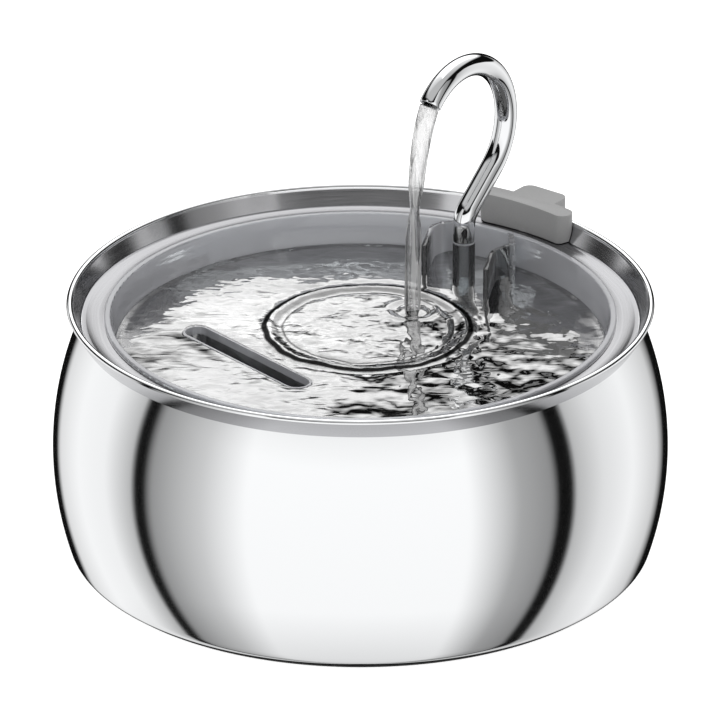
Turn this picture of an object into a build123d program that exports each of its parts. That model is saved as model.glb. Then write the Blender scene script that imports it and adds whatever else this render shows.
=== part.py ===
"""Pet water fountain: a drawn steel bowl with a clear drinking tray hung in its rim, a submersible
pump on the bowl's floor, a filter cassette under the tray and a steel gooseneck spout.

Millimetres, +Z up. The origin is on the bowl's axis at the surface that it stands on.
Radial profiles are drawn as (radius, height). The pump is drawn with +X pointing outwards
through the riser, and is then turned about Z to the riser's azimuth."""

import math
import os

from build123d import *

# ---- bowl ----
lip_z = 95.0                # top of the rolled rim
belly_radius = 108.5        # widest outside radius
belly_z = 38.7              # height of the widest point
belly_arc = 116.2           # radius of the side's arc, seen from the side
sheet = 0.8                 # steel sheet
corner_fillet = 4.0         # between side and base
rim_height = 7.0            # neck to lip
rim_width = 2.4             # width of the rolled lip
rim_flare = 5.5             # how far the lip's outer edge stands out from the neck
hem_drop = 7.8              # lip to the lower edge of the hem that is folded down outside
hem_stand = 0.95            # how far that edge stands out from the side
shelf_width = 1.15          # flat step inside the neck that the gutter ring rests on
foot_height = 1.2           # anti-slip ring under the base
foot_width = 7.5

# ---- gutter ring between bowl and tray ----
ring_sheet = 0.5
ring_seat_gap = 0.4         # level, between the ring's edge and the flared rim
ring_land = 1.3             # flat outer band that rests on the bowl's step
gutter_drop = 0.25          # gutter's low line below the ring's inner lip
gutter_low_share = 0.4      # how far across the gutter that line is
ring_lip_width = 1.0        # flat lip that the tray's bead rests on
gutter_width = 7.6          # from the flat lip to the ring's edge

# ---- drinking tray ----
tray_wall = 1.2
tray_floor = 2.0
tray_depth = 23.5           # bead top to floor
tray_draft = 2.6            # the wall's radius shrinks by this much towards the floor
tray_fillet = 3.0
bead_width = 2.3
bead_height, bead_fillet = 1.4, 0.56
rest_gap = 0.1              # under the bead
bead_overlap = 0.8          # how far the bead reaches over the ring's lip

# ---- overflow slot and filter cassette ----
slot_x, slot_y = -39.7, -11.4
slot_angle = -50.3          # degrees from +X
slot_length, slot_width = 64.0, 8.7
slot_wall = 1.5
slot_height = 11.7          # weir above the tray's floor
cassette_length, cassette_width = 76.0, 32.0
cassette_height = 13.4
cassette_wall = 1.5
cassette_gap = 0.3          # to the tray's skirt and floor
lid_thickness = 1.6
pad_thickness = 3.0
carbon_thickness = 3.4
layer_gap = 0.15            # between the filter's layers
skirt_wall = 1.5
skirt_height = 9.0
grille_slot = 2.0
grille_pitch = 5.0

# ---- riser, hose and spout ----
riser_azimuth = 54.35       # degrees from +X
riser_inset = 24.4          # from the tray's inner wall to the riser's axis
tube_diameter = 8.0         # riser and spout
tube_wall = 0.8
riser_above_lip = -0.9
hose_gap = 1.0              # inside the hose, between nozzle and riser
riser_flange, riser_flange_height = 11.0, 1.2
boss_diameter, boss_height = 13.0, 4.0
running_gap = 0.05          # radial, for push fits and turning fits
sleeve_flange_height = 0.6
sleeve_wall = 0.5
spigot_length = 13.0
spigot_wall = 0.7
spout_azimuth = 51.6        # of the spout's own plane
spout_corner_above_lip = 9.0    # where the upright line meets the leaning one
spout_bend = 7.0            # centreline radius of the foot's bend
loop_above_lip = 41.4       # centre of the gooseneck's loop
loop_inset = 1.2            # that centre, inside the riser's axis
loop_radius = 25.2
outlet_angle = 138.0        # degrees round the loop, from level outwards
hose_wall = 1.45
hose_overlap = 6.0

# ---- collar: a horseshoe wall round the riser, as offsets from the riser's axis ----
collar_wall = 2.0
collar_bite = 0.3           # how far its arms run into the tray's wall
collar_left = [(3.7, 32.5), (-10.6, 26.8), (-14.0, 7.6)]
collar_right = [(16.2, 25.5), (17.8, 8.7), (10.7, 3.2), (7.7, -13.4)]
collar_left_fillets = [7.0]
collar_right_fillets = [4.5, 6.5]

# ---- lead clip on the rim ----
clip_azimuth = 52.0         # degrees
clip_span = 23.0            # degrees
clip_inner_inset = 8.8      # inner face, inside the lip's outer edge
clip_width = 7.3
clip_above_lip = 4.2
clip_gap = 0.3
stub_width = 18.5
stub_reach = 6.8            # beyond the lip's outer edge
stub_hang = 4.0             # hook below the lip
stub_fillet = 3.5
lead_groove = 3.0           # for a thin low-voltage lead
lead_roof = 1.1             # left above the groove
lead_gate = 2.3             # height of the way in under the clip's inner face
clip_web = 1.0              # left between the groove and the clip's inner face

# ---- pump ----
pump_length, pump_width, pump_height = 38.0, 40.0, 34.0
cup_height = 5.0            # from the bowl's floor to the pump's base
axis_above_base = 20.0
nozzle_from_front = 5.1     # nozzle's axis behind the housing's front
pump_fillet, least_fillet = 4.0, 0.5
pump_wall = 2.0
chamber_radius, chamber_depth = 10.0, 9.0
can_wall = 1.2
rotor_radius, rotor_length = 7.0, 18.5
rotor_gap = 0.6             # magnet to can
end_gap = 0.4               # along the shaft
shaft_radius = 1.0
bush_radius, bush_length = 3.0, 1.8
bush_floor = 0.5
impeller_radius, impeller_blade = 9.0, 1.2
impeller_width, impeller_disc = 6.0, 1.2
blade_count = 6
hub_radius, hub_wall = 3.2, 1.0
nozzle_height = 8.0
nozzle_bore = 2.6           # radius
core_thickness, core_leg, core_yoke = 12.0, 4.9, 3.6
core_half_width = 14.0
pole_above_axis, pole_below_axis = 6.4, 6.9
pole_thickness = 2.0        # how far the poles stand in from the legs
bobbin_wall, coil_wall = 0.6, 1.5
board_thickness, board_gap = 1.2, 2.0
plate_thickness = 2.0
plate_rim, plate_rim_height = 1.2, 3.0
intake_radius = 6.0
spoke_width = 1.6
spoke_count = 3
cover_depth, cover_wall = 9.8, 1.6
intake_slot_height, slot_margin = 2.0, 1.0
cover_gap = 0.2
knob_radius, knob_thickness = 9.0, 2.0
knob_grip_width, knob_grip_height, knob_grip_inset = 2.0, 2.0, 1.0
knob_window, knob_window_at = 2.0, 5.6
knob_pin = 2.0
snap_head, snap_length, snap_gap = 0.6, 1.0, 0.1    # barb behind the cover's wall
cup_radius, cup_neck = 7.0, 2.0
cup_lip, cup_hollow, cup_flare = 1.2, 0.8, 0.6
cup_skirt, cup_plug = 3.0, 1.4      # skirt's height; how far the stem goes into the pump's base
cup_inset = 8.0
gland_radius, gland_height, gland_step, gland_taper = 3.4, 5.0, 1.0, 0.8
lead_radius = 1.4
over = 1.0                  # how far a cutting solid runs past what it cuts

# ---- worked out from the sizes above ----
belly_centre_r = belly_radius - belly_arc
base_z = foot_height
floor_z = base_z + sheet
corner_z = base_z + corner_fillet
corner_reach = belly_arc - corner_fillet
corner_r = belly_centre_r + math.sqrt(corner_reach**2 - (belly_z - corner_z) ** 2)
corner_angle = math.degrees(math.atan2(corner_z - belly_z, corner_r - belly_centre_r))
neck_z = lip_z - rim_height


def side_radius(height, inset=0.0):
    """The bowl's radius at a height, on its outside or that far inside it."""
    return belly_centre_r + math.sqrt((belly_arc - inset) ** 2 - (height - belly_z) ** 2)


neck_r = side_radius(neck_z)
neck_inner_r = side_radius(neck_z, sheet)
lip_r = neck_r + rim_flare
roll_r = lip_r - rim_width / 2
roll_z = lip_z - rim_width / 2
hem_z = lip_z - hem_drop
shelf_r = neck_inner_r + shelf_width


def flare_radius(height):
    """Inside radius of the flared rim between its step and the lip."""
    share = (height - neck_z) / (roll_z - neck_z)
    return shelf_r + share * (lip_r - rim_width - shelf_r)


ring_edge_z = neck_z + running_gap + ring_sheet
ring_edge_r = flare_radius(ring_edge_z) - ring_seat_gap
ring_land_r = ring_edge_r - ring_land
ring_lip_z = neck_z
lead_inner_r = neck_inner_r - lead_groove - clip_gap    # inner side of a lead that passes the neck
gutter_start_r = ring_edge_r - gutter_width
ring_inner_r = gutter_start_r - ring_lip_width
bead_outer_r = ring_inner_r + bead_overlap
bead_bottom_z = ring_lip_z + rest_gap
bead_top_z = bead_bottom_z + bead_height
tray_inner_r = bead_outer_r - bead_width
tray_outer_r = tray_inner_r + tray_wall
tray_floor_z = bead_top_z - tray_depth
tray_under_z = tray_floor_z - tray_floor
weir_z = tray_floor_z + slot_height

tube_r = tube_diameter / 2
bore_r = tube_r - tube_wall
riser_top_z = lip_z + riser_above_lip
riser_distance = tray_inner_r - riser_inset
riser_x = riser_distance * math.cos(math.radians(riser_azimuth))
riser_y = riser_distance * math.sin(math.radians(riser_azimuth))
boss_top_z = tray_floor_z + boss_height
sleeve_top_z = riser_top_z + sleeve_flange_height
sleeve_r = bore_r - running_gap
spigot_r = sleeve_r - sleeve_wall - running_gap

pump_front = riser_distance - nozzle_from_front
pump_back = pump_front + pump_length
pump_base_z = floor_z + cup_height
pump_axis_z = pump_base_z + axis_above_base
pump_top_z = pump_base_z + pump_height
nozzle_top_z = pump_top_z + nozzle_height
riser_foot_z = nozzle_top_z + hose_gap
chamber_back = pump_front + chamber_depth
impeller_front = chamber_back - end_gap - impeller_disc - impeller_width
magnet_front = chamber_back + end_gap + can_wall
magnet_back = magnet_front + rotor_length
can_back = magnet_back + end_gap
bush_back = can_back + bush_length
can_end = bush_back + can_wall
can_bore_r = rotor_radius + rotor_gap
can_r = can_bore_r + can_wall
motor_front = chamber_back + pump_wall
plate_back = pump_front
plate_front = plate_back - plate_thickness
cover_back = plate_front - cover_gap / 2
cover_front = cover_back - cover_depth
front_bush_length = plate_thickness - bush_floor

pump_place = Rot(0, 0, riser_azimuth)
riser_place = Pos(riser_x, riser_y, 0)


# ---- helpers ----
def turned(*edges):
    """The solid of revolution about Z of a closed radial profile."""
    return revolve(Plane.XZ * make_face(edges), Axis.Z)


def profile(*points):
    """The solid of revolution about Z of a polygon of (radius, height) points."""
    return turned(Polyline(*points, close=True))


def ring(outer, inner, low, high):
    """A tube about Z."""
    return profile((inner, low), (outer, low), (outer, high), (inner, high))


def rod(radius, low, high):
    """A cylinder about Z."""
    return Pos(0, 0, low) * Cylinder(radius, high - low, align=(Align.CENTER, Align.CENTER, Align.MIN))


def block(x0, x1, y0, y1, z0, z1):
    """A box between two corners."""
    return Pos((x0 + x1) / 2, (y0 + y1) / 2, (z0 + z1) / 2) * Box(x1 - x0, y1 - y0, z1 - z0)


def axle(radius, front, back, y=0.0, z=pump_axis_z):
    """A cylinder along the pump's own X axis, from front to back."""
    return Pos(front, y, z) * Rot(0, 90, 0) * rod(radius, 0, back - front)


def stadium(length, width, low, high):
    """A flat-sided, round-ended block that lies along the slot."""
    outline = SlotOverall(length, width)
    return Pos(slot_x, slot_y, low) * Rot(0, 0, slot_angle) * extrude(outline, high - low)


def around(count, shape):
    """Copies of a shape about the pump's axis."""
    return [
        Pos(0, 0, pump_axis_z) * Rot(360 * i / count, 0, 0) * Pos(0, 0, -pump_axis_z) * shape
        for i in range(count)
    ]


def cut(solid, tools):
    """solid less each of the tools."""
    for tool in tools:
        solid = solid - tool
    return solid


# ---- bowl, foot, gutter ring ----
def make_bowl():
    """One drawn sheet: base, barrel side, a step at the neck, flared rim, lip and folded hem."""
    hem_angle = math.degrees(math.asin((hem_z - belly_z) / belly_arc))
    inner_arc = belly_arc - sheet
    inner_neck = math.degrees(math.asin((neck_z - belly_z) / inner_arc))
    centre = (belly_centre_r, belly_z)
    side_out = CenterArc(centre, belly_arc, corner_angle, hem_angle - corner_angle)
    side_in = CenterArc(centre, inner_arc, corner_angle, inner_neck - corner_angle)
    corner = (corner_r, corner_z)
    corner_out = CenterArc(corner, corner_fillet, -90, 90 + corner_angle)
    corner_in = CenterArc(corner, corner_fillet - sheet, -90, 90 + corner_angle)
    roll_out = CenterArc((roll_r, roll_z), rim_width / 2, 0, 180)
    hem = (side_radius(hem_z) + hem_stand, hem_z)
    step = (shelf_r, neck_z)
    return turned(
        Line((0, base_z), corner_out @ 0), corner_out, side_out,
        Line(side_out @ 1, hem), Line(hem, roll_out @ 0), roll_out,
        Line(roll_out @ 1, step), Line(step, side_in @ 1), side_in, corner_in,
        Line(corner_in @ 0, (0, floor_z)), Line((0, floor_z), (0, base_z)),
    )  # fmt: skip


def make_foot_ring():
    """Soft ring bonded under the flat of the base."""
    return ring(corner_r, corner_r - foot_width, 0, foot_height)


def gutter_arc():
    """Centre and radius of the gutter's top surface, an arc from the flat lip to the outer band."""
    x0, z0 = gutter_start_r, ring_lip_z
    x2, z2 = ring_land_r, ring_edge_z
    x1, z1 = x0 + gutter_low_share * (x2 - x0), ring_lip_z - gutter_drop
    arc = ThreePointArc((x0, z0), (x1, z1), (x2, z2))
    centre = arc.arc_center
    return centre.X, centre.Y, arc.radius


def make_gutter_ring():
    """Pressed ring: a flat inner lip for the tray, a shallow gutter and a flat outer band."""
    cx, cz, top = gutter_arc()
    low = top + ring_sheet
    under_z, land_under_z = ring_lip_z - ring_sheet, ring_edge_z - ring_sheet
    start = math.degrees(math.atan2(ring_lip_z - cz, gutter_start_r - cx))
    end = math.degrees(math.atan2(ring_edge_z - cz, ring_land_r - cx))
    under_start = math.degrees(math.asin((cz - under_z) / low)) - 180
    under_end = -math.degrees(math.asin((cz - land_under_z) / low))
    upper = CenterArc((cx, cz), top, start, end - start)
    lower = CenterArc((cx, cz), low, under_start, under_end - under_start)
    edge, edge_under = (ring_edge_r, ring_edge_z), (ring_edge_r, land_under_z)
    body = turned(
        Line((ring_inner_r, ring_lip_z), upper @ 0), upper, Line(upper @ 1, edge),
        Line(edge, edge_under), Line(edge_under, lower @ 1), lower,
        Line(lower @ 0, (ring_inner_r, under_z)),
        Line((ring_inner_r, under_z), (ring_inner_r, ring_lip_z)),
    )  # fmt: skip
    half = lead_groove / 2 + clip_gap
    notch = block(lead_inner_r, lip_r, -half, half, under_z - gutter_drop - over, lip_z)
    return body - Rot(0, 0, clip_azimuth) * notch


# ---- drinking tray ----
def collar_wall_piece(offsets, fillets):
    """One arm of the horseshoe wall, from the tray's side wall to its free end."""
    points = [(riser_x + dx, riser_y + dy) for dx, dy in offsets]
    path = FilletPolyline(*points, radius=fillets)
    outline = make_face(offset(path, collar_wall / 2).edges())
    root_z = tray_under_z + tray_floor / 2
    arm = Pos(0, 0, root_z) * extrude(outline, bead_top_z - root_z)
    foot = tray_inner_r - tray_draft + collar_bite
    return arm & profile(
        (0, tray_under_z), (foot, tray_under_z), (tray_inner_r + collar_bite, bead_top_z), (0, bead_top_z)
    )


def make_tray():
    """One clear moulding: bead, wall, floor, weir, collar, riser boss and the cassette's skirt."""
    foot_outer = tray_outer_r - tray_draft
    foot_inner = tray_inner_r - tray_draft
    outline = make_face(
        Polyline(
            (0, tray_under_z), (foot_outer, tray_under_z), (tray_outer_r, bead_bottom_z),
            (bead_outer_r, bead_bottom_z), (bead_outer_r, bead_top_z), (tray_inner_r, bead_top_z),
            (foot_inner, tray_floor_z), (0, tray_floor_z), close=True,
        )
    )  # fmt: skip

    def near(r, z):
        return outline.vertices().sort_by_distance((r, z, 0))[0]

    outline = fillet(near(foot_inner, tray_floor_z), tray_fillet)
    outline = fillet(near(foot_outer, tray_under_z), tray_fillet)
    outline = fillet([near(bead_outer_r, bead_top_z), near(tray_inner_r, bead_top_z)], bead_fillet)
    tray = revolve(Plane.XZ * outline, Axis.Z)
    tray += stadium(slot_length + 2 * slot_wall, slot_width + 2 * slot_wall, tray_under_z, weir_z)
    skirt_gap = 2 * cassette_gap
    inner_l, inner_w = cassette_length + skirt_gap, cassette_width + skirt_gap
    skirt_low = tray_under_z - skirt_height
    outer_l, outer_w = inner_l + 2 * skirt_wall, inner_w + 2 * skirt_wall
    skirt = stadium(outer_l, outer_w, skirt_low, tray_under_z + tray_floor / 2)
    tray += skirt - stadium(inner_l, inner_w, skirt_low - over, tray_under_z)
    tray -= stadium(slot_length, slot_width, tray_under_z - over, weir_z + over)
    tray += collar_wall_piece(collar_left, collar_left_fillets)
    tray += collar_wall_piece(collar_right, collar_right_fillets)
    tray += riser_place * rod(boss_diameter / 2, tray_under_z - boss_height / 2, boss_top_z)
    return tray - riser_place * rod(tube_r + running_gap, tray_under_z - boss_height, boss_top_z + over)


def make_riser():
    """Clear standpipe through the tray's boss, with a flange that sits on the boss."""
    pipe = rod(tube_r, riser_foot_z, riser_top_z)
    pipe += rod(riser_flange / 2, boss_top_z, boss_top_z + riser_flange_height)
    return riser_place * (pipe - rod(bore_r, riser_foot_z - over, riser_top_z + over))


# ---- filter cassette ----
cassette_top_z = tray_under_z - cassette_gap
cassette_low_z = cassette_top_z - cassette_height
lid_low_z = cassette_top_z - lid_thickness
pad_low_z = lid_low_z - layer_gap - pad_thickness
carbon_low_z = pad_low_z - layer_gap - carbon_thickness
resin_low_z = cassette_low_z + cassette_wall + layer_gap


def grille(length, width, low, high):
    """Cross slots over the length of the cassette."""
    count = int((length - width) // grille_pitch) + 1
    bar = width - 2 * grille_slot
    places = [(i - (count - 1) / 2) * grille_pitch for i in range(count)]
    slots = [Pos(x, 0, (low + high) / 2) * Box(grille_slot, bar, high - low + 2 * over) for x in places]
    return [Pos(slot_x, slot_y, 0) * Rot(0, 0, slot_angle) * s for s in slots]


def cassette_layer(low, high):
    """A bed that fills the cassette's inside with a small gap."""
    inset = 2 * (cassette_wall + layer_gap)
    return stadium(cassette_length - inset, cassette_width - inset, low, high)


def make_basket():
    """Open cup with a slotted base."""
    inset = 2 * cassette_wall
    cup = stadium(cassette_length, cassette_width, cassette_low_z, cassette_top_z)
    cup -= stadium(
        cassette_length - inset, cassette_width - inset,
        cassette_low_z + cassette_wall, cassette_top_z + over,
    )  # fmt: skip
    return cut(cup, grille(cassette_length, cassette_width, cassette_low_z, cassette_low_z + cassette_wall))


def make_filter_lid():
    """Slotted lid pressed into the basket's mouth."""
    lid = cassette_layer(lid_low_z, cassette_top_z)
    return cut(lid, grille(cassette_length, cassette_width, lid_low_z, cassette_top_z))


# ---- spout ----
def make_sleeve():
    """Silicone sleeve that grips the spout's spigot in the riser."""
    low = sleeve_top_z - spigot_length
    body = rod(sleeve_r, low, riser_top_z) + rod(tube_r, riser_top_z + running_gap, sleeve_top_z)
    body += rod(sleeve_r, riser_top_z - over, sleeve_top_z)
    return riser_place * (body - rod(spigot_r + running_gap, low - over, sleeve_top_z + over))


def spout_path(start_z):
    """Centreline in the spout's own upright plane: foot, bend, leaning run, loop."""
    turn_z = lip_z + spout_corner_above_lip
    loop_z = lip_z + loop_above_lip
    rise = loop_z - turn_z
    lean = math.asin(loop_radius / math.hypot(rise, loop_inset)) - math.atan2(loop_inset, rise)
    bend_run = spout_bend * math.tan(lean / 2)
    lean_deg = math.degrees(lean)
    foot = Line((0, start_z), (0, turn_z - bend_run))
    bend = CenterArc((spout_bend, turn_z - bend_run), spout_bend, 180, -lean_deg)
    loop = CenterArc((-loop_inset, loop_z), loop_radius, -lean_deg, lean_deg + outlet_angle)
    run = Line(bend @ 1, loop @ 0)
    u = (math.cos(math.radians(spout_azimuth)), math.sin(math.radians(spout_azimuth)), 0)
    plane = Plane(origin=(riser_x, riser_y, 0), x_dir=u, z_dir=(u[1], -u[0], 0))
    return plane * Wire([foot, bend, run, loop])


def tube_along(path, radius):
    """A round bar swept along a path."""
    return sweep(Plane(path @ 0, z_dir=path % 0) * Circle(radius), path=path)


def make_spout():
    """Bent steel tube, swaged at its foot to a spigot."""
    foot_z = sleeve_top_z + running_gap
    shoulder_z = foot_z + tube_wall
    low = sleeve_top_z - spigot_length
    tube = tube_along(spout_path(foot_z), tube_r) + riser_place * rod(spigot_r, low, shoulder_z)
    tube -= tube_along(spout_path(shoulder_z), bore_r)
    return tube - riser_place * rod(spigot_r - spigot_wall, low - over, shoulder_z + over)


# ---- lead clip ----
def make_clip():
    """Silicone saddle on the rim: a bar in the gutter, and a stub over the lip that hooks outside it."""
    inner_r = lip_r - clip_inner_inset
    mid_r = inner_r + clip_width / 2
    top_z = lip_z + clip_above_lip
    end_angle = math.degrees(clip_width / 2 / mid_r)
    sweep_angle = clip_span - 2 * end_angle
    bar = SlotArc(CenterArc((0, 0), mid_r, clip_azimuth - sweep_angle / 2, sweep_angle), clip_width)
    outer_r = lip_r + stub_reach
    stub = Pos((mid_r + outer_r) / 2, 0) * Rectangle(outer_r - mid_r, stub_width)
    stub = fillet(stub.vertices().sort_by(Axis.X)[-2:], stub_fillet)
    low_z = ring_lip_z - gutter_drop
    body = Pos(0, 0, low_z) * extrude(bar, top_z - low_z)
    hook_z = lip_z - stub_hang
    body += Pos(0, 0, hook_z) * Rot(0, 0, clip_azimuth) * extrude(stub, top_z - hook_z)

    cx, cz, gutter_r = gutter_arc()
    clear_r = gutter_r - clip_gap
    land_z = ring_edge_z + clip_gap
    start = math.degrees(math.atan2(ring_lip_z - cz, gutter_start_r - cx))
    end = -math.degrees(math.asin((cz - land_z) / clear_r))
    gutter = CenterArc((cx, cz), clear_r, start, end - start)
    flare_top_r = lip_r - rim_width
    flare_gap = clip_gap / math.cos(math.atan2(flare_top_r - shelf_r, roll_z - neck_z))
    flare_low = (flare_radius(land_z) - flare_gap, land_z)
    flare_top = (flare_top_r - flare_gap, roll_z)
    inner_top = (flare_top[0], lip_z + clip_gap)
    outer_top = (lip_r + clip_gap, lip_z + clip_gap)
    outer_low = (lip_r + clip_gap, base_z)
    inner_low = ((gutter @ 0).X, base_z)
    corners = [flare_low, flare_top, inner_top, outer_top, outer_low, inner_low]
    body -= turned(
        Line(inner_low, gutter @ 0), gutter, Line(gutter @ 1, flare_low), Polyline(*corners)
    )  # fmt: skip

    half = lead_groove / 2
    groove_top = top_z - lead_roof
    groove_reach = lip_r + clip_gap + lead_groove
    groove = block(inner_r + clip_web, groove_reach, -half, half, low_z - over, groove_top)
    groove += block(lead_inner_r, groove_reach, -half, half, low_z - over, ring_lip_z + lead_gate)
    return body - Rot(0, 0, clip_azimuth) * groove


# ---- pump, drawn along its own X axis ----
def pump_outline(front, back, inset=0.0):
    """The pump's rounded section between two planes."""
    half = pump_width / 2 - inset
    solid = block(front, back, -half, half, pump_base_z + inset, pump_top_z - inset)
    radius = max(pump_fillet - inset, least_fillet)
    return fillet(solid.edges().filter_by(Axis.X), radius)


cup_places = [
    (x, y)
    for x in (pump_front + cup_inset, pump_back - cup_inset)
    for y in (cup_inset - pump_width / 2, pump_width / 2 - cup_inset)
]
board_front = can_end + end_gap
board_back = board_front + board_thickness
potting_front = board_back + layer_gap
gland_x = board_front - end_gap - gland_radius
coil_half = core_half_width - core_leg - 2 * end_gap - bobbin_wall
core_front = motor_front + bobbin_wall + coil_wall + end_gap
core_back = core_front + core_thickness
core_arc = can_r + end_gap
core_low_z = pump_base_z + pump_wall + bobbin_wall + coil_wall + end_gap


def make_pump_housing():
    """Housing with an impeller chamber, a blind rotor can, a dry motor space and an upright nozzle."""
    body = pump_outline(pump_front, pump_back)
    body -= pump_outline(motor_front, pump_back + over, pump_wall)
    body += axle(can_r, motor_front - over, can_end)
    body += Pos(riser_distance, 0, 0) * rod(tube_r, pump_top_z - over, nozzle_top_z)
    body -= axle(chamber_radius, pump_front - over, chamber_back)
    body -= axle(can_bore_r, chamber_back - over, can_back)
    body -= axle(bush_radius + running_gap, can_back - over, bush_back)
    body -= Pos(riser_distance, 0, 0) * rod(nozzle_bore, pump_axis_z, nozzle_top_z + over)
    stem = cup_neck + running_gap
    body = cut(body, [Pos(x, y, 0) * rod(stem, 0, pump_base_z + cup_plug) for x, y in cup_places])
    neck = gland_radius - gland_step + running_gap
    return body - Pos(gland_x, 0, 0) * rod(neck, pump_top_z - pump_wall - over, pump_top_z + over)


def make_suction_cups():
    """Four cups plugged into the pump's base."""
    cup = profile(
        (0, floor_z + cup_hollow), (cup_radius - cup_lip, floor_z), (cup_radius, floor_z),
        (cup_neck + cup_flare, floor_z + cup_skirt), (cup_neck, pump_base_z),
        (cup_neck, pump_base_z + cup_plug - running_gap),
        (0, pump_base_z + cup_plug - running_gap),
    )  # fmt: skip
    return Compound([Pos(x, y, 0) * cup for x, y in cup_places])


def make_magnet():
    """Ring magnet that turns on the fixed shaft."""
    return axle(rotor_radius, magnet_front, magnet_back) - axle(
        shaft_radius + running_gap, magnet_front - over, magnet_back + over
    )


def make_impeller():
    """Open impeller: straight blades on a disc, with a neck to the magnet."""
    disc_front = impeller_front + impeller_width
    wheel = axle(impeller_radius, disc_front, disc_front + impeller_disc)
    wheel += axle(hub_radius, impeller_front, magnet_front)
    half = impeller_blade / 2
    blade = block(
        impeller_front, disc_front + impeller_disc / 2, -half, half,
        pump_axis_z, pump_axis_z + impeller_radius - half,
    )  # fmt: skip
    for one in around(blade_count, blade):
        wheel += one
    return wheel - axle(shaft_radius + running_gap, impeller_front - over, magnet_front + over)


def make_shaft():
    """Fixed ceramic shaft, held at both ends."""
    return axle(shaft_radius, plate_front + bush_floor + running_gap, bush_back - bush_floor - running_gap)


def make_rear_bush():
    """Rubber bush in the end of the can."""
    return axle(bush_radius, can_back, bush_back) - axle(
        shaft_radius + running_gap, can_back - over, bush_back - bush_floor
    )


def make_front_bush():
    """Rubber bush in the hub of the chamber's plate."""
    return axle(hub_radius - hub_wall, plate_front, plate_back - running_gap) - axle(
        shaft_radius + running_gap, plate_front + bush_floor, plate_back + over
    )


def make_volute_plate():
    """Plate that closes the impeller chamber, with a spoked intake and a rim for the cover."""
    plate = pump_outline(plate_front, plate_back)
    rim_out = cover_wall + cover_gap
    rim = pump_outline(plate_front - plate_rim_height, plate_front, rim_out)
    rim -= pump_outline(plate_front - plate_rim_height - over, plate_front + over, rim_out + plate_rim)
    plate += rim
    plate -= axle(intake_radius, plate_front - over, plate_back + over)
    half = spoke_width / 2
    spoke = block(plate_front, plate_back, -half, half, pump_axis_z, pump_axis_z + intake_radius + over)
    for one in around(spoke_count, spoke):
        plate += one
    plate += axle(hub_radius, plate_front, plate_back)
    return plate - axle(hub_radius - hub_wall + running_gap, plate_front - over, plate_back + over)


def make_cover():
    """Front cover: a shell over the sponge, with round windows behind the knob and side slots."""
    shell = pump_outline(cover_front, cover_back)
    before, behind = cover_front - over, cover_front + cover_wall + over
    shell -= pump_outline(cover_front + cover_wall, cover_back + over, cover_wall)
    window = axle(knob_window, before, behind, z=pump_axis_z + knob_window_at)
    shell = cut(shell, around(spoke_count, window))
    shell -= axle(knob_pin + running_gap, before, behind)
    reach = pump_width / 2 - 2 * pump_fillet
    count = int(2 * reach // grille_pitch) + 1
    for i in range(count):
        y = (i - (count - 1) / 2) * grille_pitch
        half = grille_slot / 2
        for z in (pump_base_z + cover_wall + slot_margin, pump_axis_z + knob_radius + slot_margin):
            shell -= block(before, behind, y - half, y + half, z, z + intake_slot_height)
    return shell


def make_sponge():
    """Foam block in the cover, short of the plate's rim."""
    inset = cover_wall + cover_gap + plate_rim + 2 * layer_gap
    front = cover_front + cover_wall + snap_gap + snap_length + 2 * cover_gap
    return pump_outline(front, plate_front - layer_gap, inset)


def make_knob():
    """Flow knob on the cover: turning it moves its windows off the cover's windows."""
    back = cover_front - cover_gap / 2
    front = back - knob_thickness
    knob = axle(knob_radius, front, back)
    half = knob_grip_width / 2
    reach = knob_radius - knob_grip_inset
    knob += block(front - knob_grip_height, back, -reach, reach, pump_axis_z - half, pump_axis_z + half)
    snap_front = cover_front + cover_wall + snap_gap
    knob += axle(knob_pin, front, snap_front + snap_length)
    knob += axle(knob_pin + snap_head, snap_front, snap_front + snap_length)
    window = axle(knob_window, front - knob_grip_height - over, back + over, z=pump_axis_z + knob_window_at)
    return cut(knob, around(spoke_count, window))


def make_core():
    """U-shaped iron core whose legs embrace the can."""
    front, back = core_front - over, core_back + over
    w = core_half_width
    leg, pole = w - core_leg, w - core_leg - pole_thickness
    top_z = pump_axis_z + pole_above_axis
    core = block(core_front, core_back, -w, w, core_low_z, top_z)
    core -= block(front, back, -leg, leg, core_low_z + core_yoke, top_z + over)
    poles = block(core_front, core_back, -w, w, pump_axis_z - pole_below_axis, top_z)
    poles -= block(front, back, -pole, pole, 0, top_z + over)
    return core + poles - axle(core_arc, front, back)


def sleeve_round_yoke(inner, outer, half_length):
    """A rectangular tube about the core's yoke; inner and outer are distances from the yoke's faces."""

    def around_yoke(d, half):
        return block(
            core_front - d, core_back + d, -half, half, core_low_z - d, core_low_z + core_yoke + d
        )

    return around_yoke(outer, half_length) - around_yoke(inner, half_length + over)


def make_bobbin():
    """Moulded bobbin with end flanges."""
    gap = running_gap * 2
    tube = sleeve_round_yoke(gap, bobbin_wall, coil_half)
    for side in (-1, 1):
        cheek = sleeve_round_yoke(gap, bobbin_wall + coil_wall, bobbin_wall / 2)
        tube += Pos(0, side * (coil_half - bobbin_wall / 2), 0) * cheek
    return tube


def make_coil():
    """Copper winding between the bobbin's flanges."""
    return sleeve_round_yoke(
        bobbin_wall + running_gap, bobbin_wall + coil_wall - running_gap, coil_half - bobbin_wall - running_gap
    )


def make_board():
    """Driver board across the back of the motor space."""
    margin = pump_wall + board_gap
    half = pump_width / 2 - margin
    return block(board_front, board_back, -half, half, pump_base_z + margin, pump_top_z - margin)


def make_potting():
    """Resin plug that seals the back of the housing."""
    return pump_outline(potting_front, pump_back, pump_wall + running_gap)


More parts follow.
